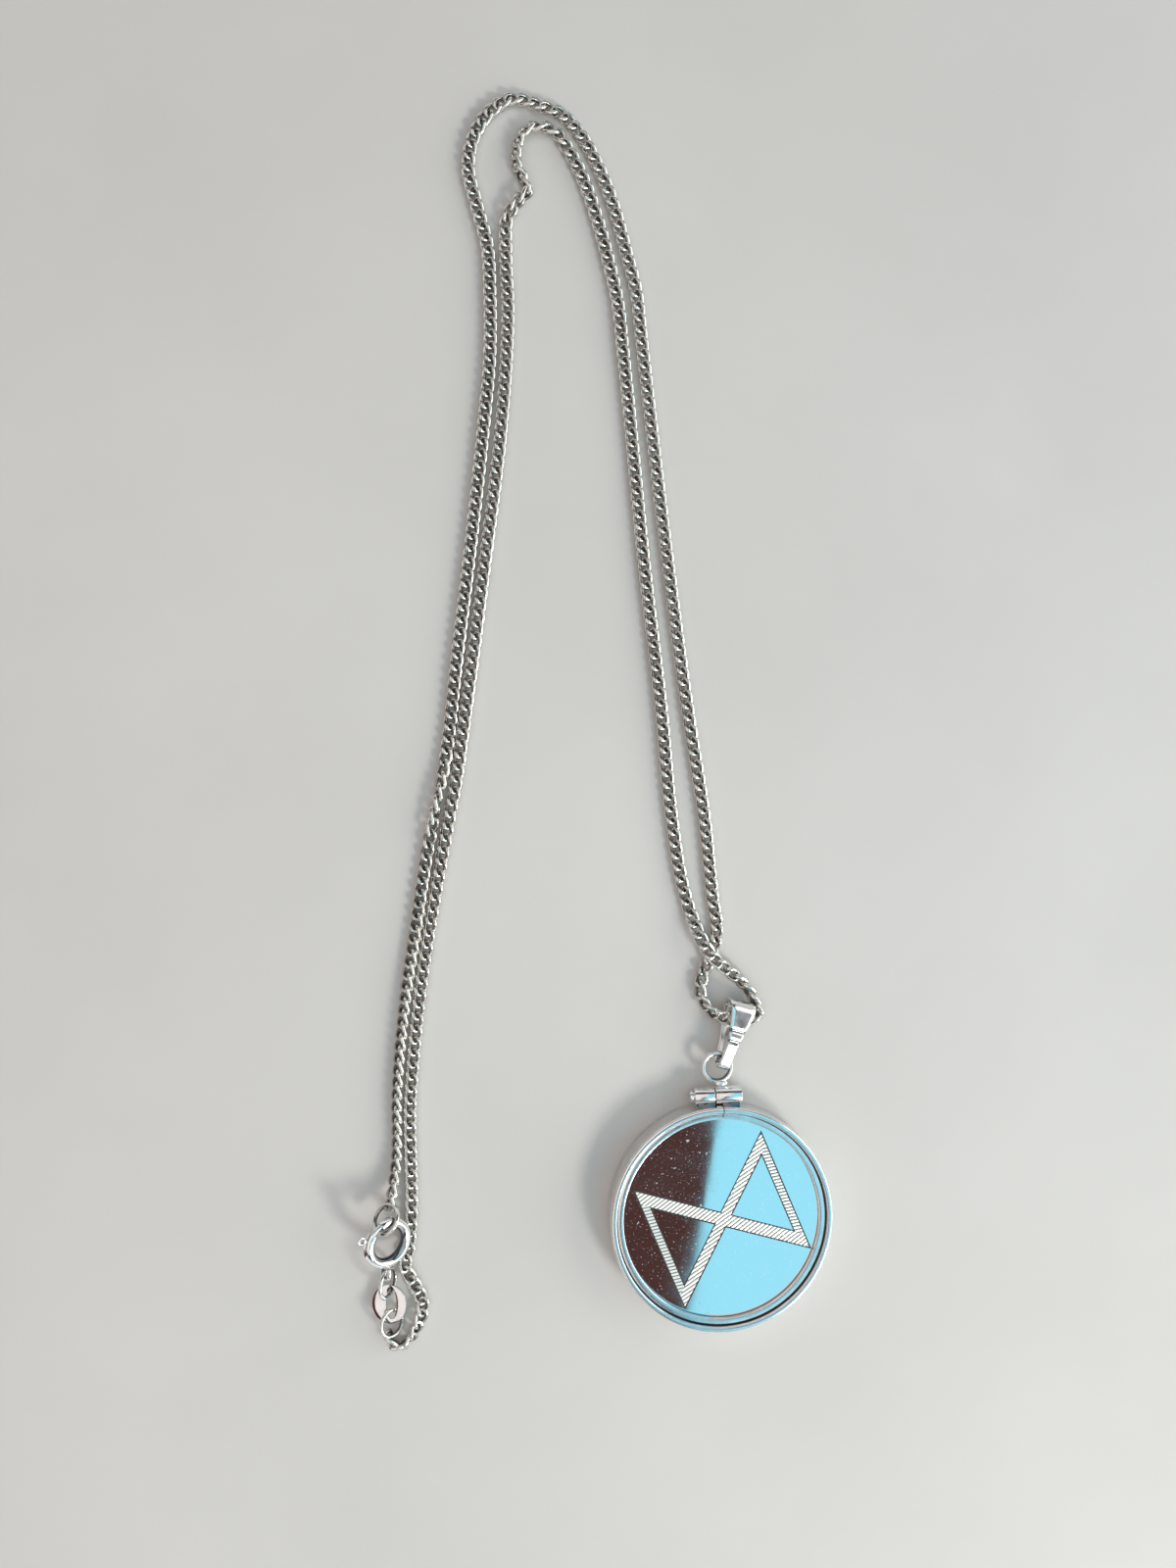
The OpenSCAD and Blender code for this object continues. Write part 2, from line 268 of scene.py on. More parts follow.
mirror = Finish("mirror_silver", metallic=1.0)
haze = mirror.noise(0.12, detail=4)
speck = mirror.noise(1.6, detail=2).over(0.70, 0.74)
dust = mirror.noise(5.0, detail=2, roughness=0.5).over(0.675, 0.715)
wipe = mirror.noise(1.4, detail=6, roughness=0.7, stretch=(1, 0.06, 1))
mirror.set(base_color=mirror.blend(dust, MIRROR_TINT, DUST_TINT))
mirror.set(metallic=1 - 0.8 * dust)
mirror.set(roughness=MIRROR_ROUGH + 0.05 * haze.over(0.4, 0.75) + 0.25 * speck + 0.5 * dust)
mirror.relief(wipe, WIPE_MM)
mirror.coat(nodes["medal_disc"])

placed = Matrix.Translation(PENDANT_AT) @ Matrix.Rotation(PENDANT_LEAN, 4, "Z")


# Engraved bands.
# Two triangles that meet tip to tip, whose bands are cut into the silver with slanted graver strokes
# between two outlines, whose cut floors are painted dark as shade. The strokes are crowned ridges, and
# their steep groove walls are painted dark as shade. They lie in a shallow recess.
# The corners are given in degrees round the disc, and the slant of the strokes from its right.
FIGURE_AT = Vector((0.2, -0.3)) * MM
FIGURE_R = 13.0 * MM
CORNER_ANGLES = {"top": 65, "right": -21, "bottom": 245.4, "left": 159}
RISING_W = 1.65 * MM
FALLING_W = 1.85 * MM
SIDE_W = 1.3 * MM
BAND_CUT = 0.08 * MM
OUTLINE_CUT = 0.18 * MM
STROKE_PITCH = 0.45 * MM
GROOVE_SHARE = 0.32
STROKE_RISE = 0.052 * MM
STROKE_CROWN = 0.022 * MM
STROKE_FLOOR = 0.008 * MM
CUT_FLOOR = 0.004 * MM
STEEP = 0.93
BRIGHT_PART = 0
BORDER_PART = 1
GROOVE_PART = 2
# Silver is darkened towards this colour, by at most this share, where it takes tarnish and painted shade.
TARNISH_SHADE_COLOUR = (0.07, 0.065, 0.06)
TARNISH_SHADE_MOST = 0.92
TINY = 1e-9

corner = {
    name: FIGURE_AT + Vector((math.cos(math.radians(a)), math.sin(math.radians(a)))) * FIGURE_R
    for name, a in CORNER_ANGLES.items()
}


def band_way(start, end, width):
    """The way a band runs whose one edge leaves start and whose other, a width to its left, meets end."""
    along = end - start
    turn = -math.asin(width / along.length)
    return Matrix.Rotation(turn, 2) @ along.normalized()


def moved_line(line, shift):
    """A line as a point and a direction, moved to its left."""
    return line[0] + Vector((-line[1].y, line[1].x)) * shift, line[1]


def crossing(first, second):
    """Where two lines cross."""
    reach = second[0] - first[0]
    turn = first[1].x * second[1].y - first[1].y * second[1].x
    return first[0] + first[1] * ((reach.x * second[1].y - reach.y * second[1].x) / turn)


def four_sided(maker, lines):
    """A flat face between four lines."""
    points = [crossing(lines[i], lines[(i + 1) % 4]) for i in range(4)]
    return maker.faces.new([maker.verts.new((p.x, p.y, 0)) for p in points])


def band(name, lines, joined, slant):
    """A floor between four lines, painted dark as shade, and on it a plate folded into slanting strokes.

    The plate leaves a border along its free sides, and lies over the next band's border where the two join.
    """
    maker = bmesh.new()
    floor = four_sided(maker, lines)
    floor.material_index = BORDER_PART
    middle = floor.calc_center_median().to_2d()
    plate_lines = []
    for line in lines:
        inward = math.copysign(1, line[1].cross(middle - line[0]))
        shift = -inward * OUTLINE_CUT if line in joined else inward * OUTLINE_CUT
        plate_lines.append(moved_line(line, shift))
    plate = four_sided(maker, plate_lines)
    direction = Vector((math.cos(math.radians(slant)), math.sin(math.radians(slant)), 0))
    reaches = [v.co.dot(direction) / STROKE_PITCH for v in plate.verts]
    for stroke in range(math.floor(min(reaches)), math.ceil(max(reaches)) + 1):
        for share in (0, GROOVE_SHARE / 2, 0.5, 1 - GROOVE_SHARE / 2):
            inner = [f for f in maker.faces if f.material_index == BRIGHT_PART]
            inner_edges = list({e for f in inner for e in f.edges})
            inner_verts = list({v for f in inner for v in f.verts})
            parts = inner + inner_edges + inner_verts
            fold = direction * (stroke + share) * STROKE_PITCH
            bmesh.ops.bisect_plane(maker, geom=parts, plane_co=fold, plane_no=direction, dist=TINY)
    for face in maker.faces:
        if face.material_index == BORDER_PART:
            for v in face.verts:
                v.co.z = CUT_FLOOR
            continue
        for v in face.verts:
            share = (v.co.to_2d().to_3d().dot(direction) / STROKE_PITCH) % 1
            near = min(share, 1 - share)
            sunk = max(0, 1 - near / (GROOVE_SHARE / 2))
            crown = max(0, near - GROOVE_SHARE / 2) / (0.5 - GROOVE_SHARE / 2)
            v.co.z = STROKE_RISE * (1 - sunk) + STROKE_FLOOR * sunk
            v.co.z += STROKE_CROWN * math.sin(crown * math.pi / 2)
    maker.normal_update()
    # Steep faces are the groove walls, which are painted dark as shade.
    for face in maker.faces:
        if face.material_index == BRIGHT_PART and abs(face.normal.z) < STEEP:
            face.material_index = GROOVE_PART
    rim = [e for e in maker.edges if e.is_boundary and max(v.co.z for v in e.verts) > CUT_FLOOR * 1.5]
    skirt = bmesh.ops.extrude_edge_only(maker, edges=rim)["geom"]
    for part in skirt:
        if isinstance(part, bmesh.types.BMVert):
            part.co.z = CUT_FLOOR
        if isinstance(part, bmesh.types.BMFace):
            part.material_index = BORDER_PART
    bmesh.ops.remove_doubles(maker, verts=maker.verts, dist=TINY)
    bmesh.ops.recalc_face_normals(maker, faces=maker.faces)
    in_recess = placed @ Matrix.Translation((0, 0, DISC_FACE - BAND_CUT))
    bmesh.ops.transform(maker, matrix=in_recess, verts=maker.verts)
    return new_piece(name, maker)


def silver(name, tint, shade, rough, scratch_mm=0.0012, tarnish_shade_colour=TARNISH_SHADE_COLOUR):
    """Polished silver: faintly cloudy, with uneven gloss and fine scratches, and darkened by tarnish and
    painted shade.

    Each mesh gives how much tarnish and painted shade it takes, from 0 to 1, in a value at each of its
    points.
    """
    finish = Finish(name, metallic=1.0)
    cloud = finish.noise(0.7, detail=5)
    fine = finish.noise(9.0, detail=3, stretch=(1, 0.12, 1))
    finish.set(base_color=finish.blend(cloud.over(0.35, 0.7), tint, shade))
    finish.set(roughness=rough[0] + (rough[1] - rough[0]) * cloud.over(0.3, 0.75))
    finish.relief(fine, scratch_mm)
    tarnish_and_shade = finish.node("ShaderNodeAttribute", {"attribute_name": "tarnish_and_shade"}, output="Fac")
    # Tarnish and painted shade are laid over the colour as much as each point asks.
    finish.paint_over(TARNISH_SHADE_MOST * tarnish_and_shade, tarnish_shade_colour)
    return finish


rising_way = band_way(corner["bottom"], corner["top"], RISING_W)
falling_way = band_way(corner["left"], corner["right"], -FALLING_W)
rising_left = (corner["top"], rising_way)
rising_right = (corner["bottom"], rising_way)
falling_top = (corner["left"], falling_way)
falling_low = (corner["right"], falling_way)
right_out = (corner["right"], (corner["top"] - corner["right"]).normalized())
left_out = (corner["left"], (corner["bottom"] - corner["left"]).normalized())
right_in = moved_line(right_out, SIDE_W)
left_in = moved_line(left_out, SIDE_W)

graved = silver("graved_silver", tint=(0.99, 0.99, 0.95), shade=(0.95, 0.95, 0.89), rough=(0.30, 0.42))
graved.set(metallic=0.7)
# The groove walls and the floors of the outline cuts are painted dark as shade.
groove_shade = silver("groove_wall_shade", tint=(0.32, 0.32, 0.29), shade=(0.20, 0.20, 0.18), rough=(0.35, 0.5))
outline_shade = silver("outline_cut_shade", tint=(0.10, 0.11, 0.11), shade=(0.06, 0.06, 0.06), rough=(0.35, 0.5))
bands = [
    band(
        "engraved_falling", (falling_top, right_out, falling_low, left_out),
        joined=(), slant=125,
    ),
    band(
        "engraved_rising_upper", (rising_left, right_out, rising_right, falling_top),
        joined=(falling_top,), slant=122,
    ),
    band(
        "engraved_rising_lower", (rising_left, falling_low, rising_right, left_out),
        joined=(falling_low,), slant=122,
    ),
    band(
        "engraved_side_right", (right_out, rising_right, right_in, falling_top),
        joined=(rising_right, falling_top), slant=98,
    ),
    band(
        "engraved_side_left", (left_out, falling_low, left_in, rising_left),
        joined=(falling_low, rising_left), slant=100,
    ),
]
for piece in bands:
    graved.coat(piece, "polished_disc")
    piece.data.materials.append(outline_shade.material)
    piece.data.materials.append(groove_shade.material)
    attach(piece, "necklace")


# Disc frame.
# A turned silver ring holds the disc in an inner channel. It is split at its top, where two lugs carry two
# knuckles, and the flat loop ring for the bail is soldered to the right one.
FRAME_R = 15.1 * MM
HALF_T = 2.0 * MM
WINDOW_R = 13.35 * MM
CHANNEL_R = 13.75 * MM
SEAT_H = 0.85 * MM
LIP_H = 1.40 * MM
LIP_ROUND = 0.12 * MM
LIP_LEVEL = 0.70 * MM
LIP_END = 0.87 * MM
LIP_DROP = 0.16 * MM
BAND_IN_R = 14.32 * MM
BAND_ROUND = 0.14 * MM
RIM_ROUND = 0.32 * MM
SPLIT_X = 0.44 * MM
SPLIT_W = 0.12 * MM
SCREW_Y = 16.3 * MM
KNUCKLE_R = 1.18 * MM
KNUCKLE_SOFT = 0.12 * MM
LEFT_KNUCKLE = (-3.25 * MM, 2.75 * MM, KNUCKLE_R - 0.05 * MM)
RIGHT_KNUCKLE = (-0.4 * MM, 3.6 * MM, KNUCKLE_R)
BORE_R = 0.61 * MM
SCREW_TIP = (3.19 * MM, 0.06 * MM, BORE_R - 0.04 * MM)
LUGS = ((-2.8 * MM, -0.6 * MM), (0.5 * MM, 2.9 * MM))
LUG_FOOT = FRAME_R - 0.35 * MM
LUG_TOP = SCREW_Y - 0.3 * MM
LUG_HALF = 0.85 * MM
LUG_SOFT = 0.08 * MM
LOOP_Y = 20.1 * MM
LOOP_R = 1.9 * MM
LOOP_WIRE_R = 0.34 * MM
SOLDER_AT = (0.45 * MM, LOOP_Y - LOOP_R - 0.28 * MM, 0)
SOLDER_HALF = (0.95 * MM, 0.5 * MM, 0.42 * MM, 1)
ROUND_STEPS = 300
SCREW_TIP_SOFT = 0.02 * MM
NOOK_SHADE_REACH = 0.11 * MM
LUG_SHADE = 0.85
# The frame's shaded corners and the clasp's inner sides are darkened towards this navy colour, as painted
# shade and tarnish.
NAVY_TARNISH_SHADE = (0.015, 0.025, 0.05)
CRISP = math.radians(38)


def rounded(maker, corner_edges, width, segments=2):
    """Softens edges as a tumbled or polished part's are."""
    bmesh.ops.bevel(
        maker, geom=corner_edges, offset=width, offset_type="OFFSET", affect="EDGES",
        segments=segments, profile=0.5, material=-1,
    )


def smooth_faces(maker, sharpest=CRISP):
    """Shades a mesh smooth, but keeps its true edges crisp."""
    maker.normal_update()
    for face in maker.faces:
        face.smooth = True
    for edge in maker.edges:
        edge.smooth = edge.is_manifold and edge.calc_face_angle(0) < sharpest


def add_copy(maker, other, matrix=Matrix.Identity(4)):
    """Adds another bmesh, moved by a matrix, and frees it."""
    bmesh.ops.transform(other, matrix=matrix, verts=other.verts)
    keeper = bpy.data.meshes.new("part")
    other.to_mesh(keeper)
    other.free()
    maker.from_mesh(keeper)
    bpy.data.meshes.remove(keeper)


def arc(centre, r, start, end, steps):
    """Points along an arc, its ends included, with angles in degrees."""
    angles = [math.radians(start + (end - start) * i / steps) for i in range(steps + 1)]
    return [(centre[0] + r * math.cos(a), centre[1] + r * math.sin(a)) for a in angles]


def turned(section, start, sweep, steps):
    """A closed outline of radius and height, turned about Z, with flat ends where it isn't a whole turn."""
    maker = bmesh.new()
    verts = [maker.verts.new((r, 0, h)) for r, h in section]
    edges = [maker.edges.new((verts[i - 1], verts[i])) for i in range(len(verts))]
    bmesh.ops.rotate(maker, verts=verts, cent=(0, 0, 0), matrix=Matrix.Rotation(start, 3, "Z"))
    whole = sweep > math.tau - TINY
    bmesh.ops.spin(
        maker, geom=verts + edges, cent=(0, 0, 0), axis=(0, 0, 1),
        angle=sweep, steps=steps, use_merge=whole,
    )
    if not whole:
        bmesh.ops.holes_fill(maker, edges=[e for e in maker.edges if e.is_boundary], sides=0)
    bmesh.ops.recalc_face_normals(maker, faces=maker.faces)
    return maker


def mark_hole_side_shade(maker, ring_r, tube_r):
    """Marks the side of a ring that faces its hole for tarnish and painted shade."""
    tarnish_and_shade = maker.verts.layers.float.new("tarnish_and_shade")
    for v in maker.verts:
        v[tarnish_and_shade] = max(0, (ring_r - v.co.xy.length) / tube_r)


def wire_circle(ring_r, wire_r, sides=16, steps=72, start=0.0, sweep=math.tau):
    """Round wire bent to a ring or an arc about Z."""
    section = [
        (ring_r + wire_r * math.cos(math.tau * i / sides), wire_r * math.sin(math.tau * i / sides))
        for i in range(sides)
    ]
    maker = turned(section, start, sweep, steps)
    # Its inner side takes tarnish and painted shade.
    mark_hole_side_shade(maker, ring_r, wire_r)
    return maker


def rod(length, r, sides=40, soften=0.0):
    """A round rod along X from the origin, with softened end edges."""
    maker = bmesh.new()
    bmesh.ops.create_cone(maker, cap_ends=True, segments=sides, radius1=r, radius2=r, depth=length)
    if soften:
        end_edges = [e for e in maker.edges if abs(e.verts[0].co.z - e.verts[1].co.z) < TINY]
        rounded(maker, end_edges, soften)
    along_x = Matrix.Rotation(math.pi / 2, 3, "Y")
    bmesh.ops.rotate(maker, verts=maker.verts, cent=(0, 0, 0), matrix=along_x)
    bmesh.ops.translate(maker, verts=maker.verts, vec=(length / 2, 0, 0))
    return maker


def block(low, high, soften):
    """A box between two corners with softened edges."""
    low, high = Vector(low), Vector(high)
    maker = bmesh.new()
    bmesh.ops.create_cube(maker, size=1)
    bmesh.ops.scale(maker, vec=high - low, verts=maker.verts)
    bmesh.ops.translate(maker, vec=(low + high) / 2, verts=maker.verts)
    rounded(maker, maker.edges[:], soften)
    return maker


upper = (
    [(CHANNEL_R, SEAT_H), (WINDOW_R, SEAT_H)]
    + arc((WINDOW_R + LIP_ROUND, LIP_H - LIP_ROUND), LIP_ROUND, 180, 90, 4)
    + arc((WINDOW_R + LIP_LEVEL, LIP_H - BAND_ROUND), BAND_ROUND, 90, 20, 4)
    + [(WINDOW_R + LIP_END, LIP_H - LIP_DROP), (BAND_IN_R, LIP_H - LIP_DROP)]
    + arc((BAND_IN_R + BAND_ROUND, HALF_T - BAND_ROUND), BAND_ROUND, 180, 95, 4)
    + arc((FRAME_R - RIM_ROUND, HALF_T - RIM_ROUND), RIM_ROUND, 90, 0, 8)
)
section = upper + [(r, -h) for r, h in reversed(upper)]
split_at = math.pi / 2 - SPLIT_X / BAND_IN_R
split_half = SPLIT_W / 2 / BAND_IN_R
rim = turned(section, split_at + split_half, math.tau - 2 * split_half, ROUND_STEPS)
# The channel round the disc's edge, the foot of the lip's inner wall and the corner between the lip and the
# outer band take a navy painted shade.
tarnish_and_shade = rim.verts.layers.float.new("tarnish_and_shade")
for v in rim.verts:
    in_shaded_corner = abs(v.co.xy.length - BAND_IN_R) < NOOK_SHADE_REACH and abs(v.co.z) < LIP_H
    v[tarnish_and_shade] = in_shaded_corner or abs(v.co.z) < HALF_T / 2

for (start_x, length, r), soften in (
    (LEFT_KNUCKLE, KNUCKLE_SOFT), (RIGHT_KNUCKLE, KNUCKLE_SOFT), (SCREW_TIP, SCREW_TIP_SOFT)
):
    add_copy(rim, rod(length, r, soften=soften), Matrix.Translation((start_x, SCREW_Y, 0)))
for lug_left, lug_right in LUGS:
    lug = block((lug_left, LUG_FOOT, -LUG_HALF), (lug_right, LUG_TOP, LUG_HALF), LUG_SOFT)
    # The lugs are painted dark as the shade under the knuckles.
    tarnish_and_shade = lug.verts.layers.float.new("tarnish_and_shade")
    for v in lug.verts:
        v[tarnish_and_shade] = LUG_SHADE
    add_copy(rim, lug)
add_copy(rim, wire_circle(LOOP_R, LOOP_WIRE_R), Matrix.Translation((0, LOOP_Y, 0)))
solder = bmesh.new()
bmesh.ops.create_uvsphere(solder, u_segments=24, v_segments=12, radius=1)
add_copy(rim, solder, Matrix.Translation(SOLDER_AT) @ Matrix.Diagonal(SOLDER_HALF))
bmesh.ops.transform(rim, matrix=placed, verts=rim.verts)
smooth_faces(rim)
frame_piece = new_piece("screw_top_frame", rim)
bright = silver(
    "frame_silver", tint=(0.93, 0.93, 0.92), shade=(0.80, 0.80, 0.79),
    rough=(0.13, 0.24), scratch_mm=0.0006, tarnish_shade_colour=NAVY_TARNISH_SHADE,
)
bright.coat(frame_piece, "silver_frame")
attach(frame_piece, "necklace")
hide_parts("disc_frame")


# Closure screw.
# A small round-headed silver screw pulls the two knuckles together.
# Its head, with a driver's slot, shows at the left, and its shank runs in the knuckles' bore.
HEAD_R = 0.75 * MM
HEAD_X = -3.85 * MM
HEAD_L = 0.5 * MM
SLOT_HALF = 0.09 * MM
SLOT_DEEP = 0.16 * MM
HEAD_SOFT = 0.16 * MM
END_ON = -0.99
SHANK_L = 0.3 * MM
SHANK_R = BORE_R - 0.06 * MM

screw = rod(HEAD_L, HEAD_R, sides=32, soften=HEAD_SOFT)
for edge_y in (-SLOT_HALF, SLOT_HALF):
    parts = screw.verts[:] + screw.edges[:] + screw.faces[:]
    bmesh.ops.bisect_plane(screw, geom=parts, plane_co=(0, edge_y, 0), plane_no=(0, 1, 0), dist=TINY)
slot_faces = [
    f for f in screw.faces
    if f.normal.x < END_ON and abs(f.calc_center_median().y) < SLOT_HALF
]
slot_floor = bmesh.ops.extrude_face_region(screw, geom=slot_faces)["geom"]
bmesh.ops.delete(screw, geom=slot_faces, context="FACES")
slot_verts = [g for g in slot_floor if isinstance(g, bmesh.types.BMVert)]
bmesh.ops.translate(screw, vec=(SLOT_DEEP, 0, 0), verts=slot_verts)
bmesh.ops.translate(screw, vec=(HEAD_X, 0, 0), verts=screw.verts)
add_copy(screw, rod(SHANK_L, SHANK_R, sides=24), Matrix.Translation((HEAD_X + HEAD_L, 0, 0)))
bmesh.ops.transform(screw, matrix=placed @ Matrix.Translation((0, SCREW_Y, 0)), verts=screw.verts)
bmesh.ops.recalc_face_normals(screw, faces=screw.faces)
smooth_faces(screw)
screw_piece = new_piece("closure_screw_head", screw)
bright.coat(screw_piece, "silver_frame")
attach(screw_piece, "necklace")
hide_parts("closure_screw")


# Bail.
# A flat silver strap, wide at the top and narrow below, is folded into a loop round the frame's loop ring.
# Two pressed creases cross its front where it narrows, and its edges are rounded over.
BAIL_AT = Vector((17.24, -47.12, 2.0)) * MM
BAIL_TURN = math.radians(-17.9)
BAIL_ROLL = math.radians(14)
BAIL_L = 9.6 * MM
BAIL_T = 0.45 * MM
NARROW_HALF = 0.83 * MM
WIDE_HALF = 2.0 * MM
NARROW_TO = 4.0 * MM
CREASES = ((4.15, 0.13, 0.22), (5.6, 0.16, 0.26))
CREASE_SHADE_DEPTH = 0.15 * MM
ACROSS = 6
BENT = math.radians(60)
STRAP_CRISP = math.radians(50)
EDGE_SOFT = 0.1 * MM
# The loop's side view is reckoned in millimetres along the strap from its low end: its two folds, the knee
# in its front and back, and where its points lie, closest at the creases.
TOP_FOLD_R = 1.55
LOW_FOLD_R = 1.05
KNEE = 4.6
KNEE_HALF = 1.6
TOP_RUN = 3.45
LOW_TAPER = 0.155
FRONT = (
    7.6, 7.0, 6.4, 6.1, 5.9, 5.75, 5.6, 5.45, 5.3, 5.1, 4.9,
    4.6, 4.45, 4.3, 4.15, 4.0, 3.85, 3.6, 3.0, 2.2, 1.5,
)
BACK = (1.5, 2.2, 3.0, 3.8, 4.6, 5.4, 6.2, 7.0, 7.6)


def strap_half_width(u):
    """Half the strap's width at u: narrow at its low end, and widening to its top fold."""
    rise = min(max((u - NARROW_TO) / (BAIL_L - NARROW_TO), 0), 1)
    return NARROW_HALF + (WIDE_HALF - NARROW_HALF) * rise


def bent_edges(maker):
    """The edges where a mesh turns a corner."""
    return [e for e in maker.edges if e.is_manifold and e.calc_face_angle(0) > BENT]


def strap_height(u):
    """Half the height of the strap's loop at u: near level above its knee, and tapering below it."""
    if u > KNEE:
        return TOP_FOLD_R + (KNEE_HALF - TOP_FOLD_R) * (BAIL_L / MM - TOP_FOLD_R - u) / TOP_RUN
    return KNEE_HALF - (KNEE - u) * LOW_TAPER


loop_side = (
    arc((BAIL_L - TOP_FOLD_R * MM, 0), TOP_FOLD_R * MM, -90, 90, 28)
    + [(u * MM, strap_height(u) * MM) for u in FRONT]
    + arc((LOW_FOLD_R * MM, 0), LOW_FOLD_R * MM, 99, 261, 20)
    + [(u * MM, -strap_height(u) * MM) for u in BACK]
)
strap = bmesh.new()
tarnish_and_shade = strap.verts.layers.float.new("tarnish_and_shade")
ring = []
for u, h in loop_side:
    # The strap's front is painted dark as shade where the creases dip.
    dip = sum(deep * MM * math.exp(-(((u / MM - at) / wide) ** 2)) for at, deep, wide in CREASES)
    ring.append(strap.verts.new((-1, u, h - dip if h > 0 else h)))
    ring[-1][tarnish_and_shade] = min(dip / CREASE_SHADE_DEPTH, 1) if h > 0 else 0
edges = [strap.edges.new((ring[i - 1], ring[i])) for i in range(len(ring))]
for column in range(ACROSS):
    widened = bmesh.ops.extrude_edge_only(strap, edges=edges)["geom"]
    moved = [g for g in widened if isinstance(g, bmesh.types.BMVert)]
    edges = [g for g in widened if isinstance(g, bmesh.types.BMEdge)]
    bmesh.ops.translate(strap, vec=(2 / ACROSS, 0, 0), verts=moved)
    edges = [e for e in edges if e.verts[0] in moved and e.verts[1] in moved]
for v in strap.verts:
    v.co.x *= strap_half_width(v.co.y)
bmesh.ops.recalc_face_normals(strap, faces=strap.faces)
bmesh.ops.solidify(strap, geom=strap.faces[:], thickness=BAIL_T)
bmesh.ops.recalc_face_normals(strap, faces=strap.faces)
strap.normal_update()
rounded(strap, bent_edges(strap), EDGE_SOFT)
bail_turn = Matrix.Rotation(BAIL_TURN, 4, "Z") @ Matrix.Rotation(BAIL_ROLL, 4, "Y")
bail_place = Matrix.Translation(BAIL_AT) @ bail_turn
bmesh.ops.transform(strap, matrix=bail_place, verts=strap.verts)
smooth_faces(strap, STRAP_CRISP)
bail_piece = new_piece("folded_bail", strap)
bright.coat(bail_piece, "silver_frame")
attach(bail_piece, "necklace")
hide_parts("bail")


# Chain.
# A curb chain: oval links of round silver wire, twisted so that they lie flat, with their faces cut flat.
# It runs from the jump ring round the outer strand, through the bail, and back inside it to the end link.
# Each point of its route has x, y and z in millimetres, and the links' roll there in degrees.
ROUTE = [
    (-26.9, -63.3, 2.0, 65), (-26.6, -61.4, 1.35, 65), (-26.3, -59.0, 1.0, 65),
    (-26.2, -50.3, 0.95, 65), (-25.1, -37.3, 0.9, 55), (-23.6, -26.9, 0.75, 25),
    (-22.0, -16.4, 0.65, 0), (-21.2, -12.2, 0.95, -70), (-20.5, -9.0, 0.95, -110),
    (-19.7, -4.4, 0.65, -180), (-18.4, 7.2, 0.65, -180), (-16.5, 23.0, 0.65, -180),
    (-14.8, 38.8, 0.65, -180), (-13.9, 49.3, 0.65, -180), (-13.9, 57.0, 0.65, -180),
    (-14.3, 63.8, 0.65, -180), (-15.7, 69.0, 0.65, -180), (-16.8, 74.2, 0.65, -180),
    (-16.1, 78.1, 0.65, -180), (-14.0, 81.5, 0.65, -180), (-11.0, 83.5, 0.7, -160),
    (-7.6, 82.9, 0.7, -160), (-4.2, 81.7, 0.65, -180), (-1.9, 79.4, 0.65, -180),
    (0.5, 75.3, 0.65, -180), (2.5, 70.5, 0.65, -180), (4.5, 63.5, 0.65, -180),
    (5.9, 58.0, 0.65, -180), (6.5, 52.7, 0.65, -180), (10.5, 19.5, 0.65, -180),
    (12.9, 2.1, 0.65, -180), (15.4, -13.9, 0.65, -180), (16.5, -24.6, 0.65, -180),
    (17.0, -28.6, 0.65, -180), (16.2, -32.0, 0.65, -180), (14.9, -34.9, 0.8, -210),
    (14.8, -37.4, 1.2, -245), (15.9, -39.2, 1.8, -235), (17.6, -40.2, 2.0, -200),
    (19.5, -40.8, 1.55, -180), (21.4, -40.8, 1.1, -160), (22.7, -39.6, 1.0, -110),
    (22.1, -37.8, 1.0, -100), (20.0, -35.2, 1.0, -130), (18.1, -33.7, 1.5, -170),
    (16.3, -32.1, 2.0, -180), (14.8, -29.9, 1.9, -180), (13.3, -26.0, 0.8, -180),
    (12.0, -21.0, 0.65, -180), (10.9, -13.9, 0.65, -180), (9.3, 2.1, 0.65, -180),
    (7.2, 19.5, 0.65, -180), (4.1, 50.0, 0.65, -180), (3.3, 57.0, 0.65, -180),
    (2.2, 61.8, 0.65, -180), (0.5, 68.0, 0.65, -180), (-1.4, 73.3, 0.65, -180),
    (-3.2, 76.8, 0.65, -180), (-5.2, 79.3, 0.75, -210), (-7.4, 79.9, 0.85, -230),
    (-9.4, 78.9, 0.9, -240), (-10.3, 76.4, 0.9, -245), (-10.2, 74.2, 0.95, -250),
    (-9.3, 72.5, 1.0, -265), (-9.0, 71.0, 1.0, -280), (-10.3, 69.5, 0.95, -300),
    (-11.6, 67.4, 0.7, -345), (-11.8, 63.5, 0.65, -360), (-11.5, 54.7, 0.65, -360),
    (-12.0, 44.1, 0.65, -360), (-15.0, 17.7, 0.65, -360), (-17.0, 2.0, 0.65, -360),
    (-18.5, -8.6, 0.65, -360), (-19.6, -14.6, 0.65, -360), (-23.4, -38.5, 0.65, -360),
    (-24.4, -50.0, 0.65, -360), (-24.7, -70.6, 0.65, -360), (-25.1, -73.0, 0.65, -360),
    (-24.0, -75.0, 0.65, -360), (-22.8, -78.0, 0.65, -350), (-23.5, -80.7, 0.85, -320),
    (-24.7, -82.6, 0.95, -290), (-26.1, -83.4, 1.1, -275), (-26.7, -82.4, 1.3, -270),
]
WIRE_R = 0.3 * MM
LINK_LONG = 2.40 * MM
LINK_WIDE = 1.42 * MM
LINK_TWIST = -0.32 * MM
LINK_PITCH = 1.61 * MM
LINK_STEPS = 14
WIRE_SIDES = 6
LINK_LEAD = 0.35 * MM
LINK_TAIL = 0.35 * MM
UNDERSIDE_SHADE_DEPTH = 0.3 * MM
FACE_HALF = 0.55 * MM
SIDE_HALF = 0.95 * MM
ROUTE_FINE = 0.1 * MM
LINK_CRISP = math.radians(70)


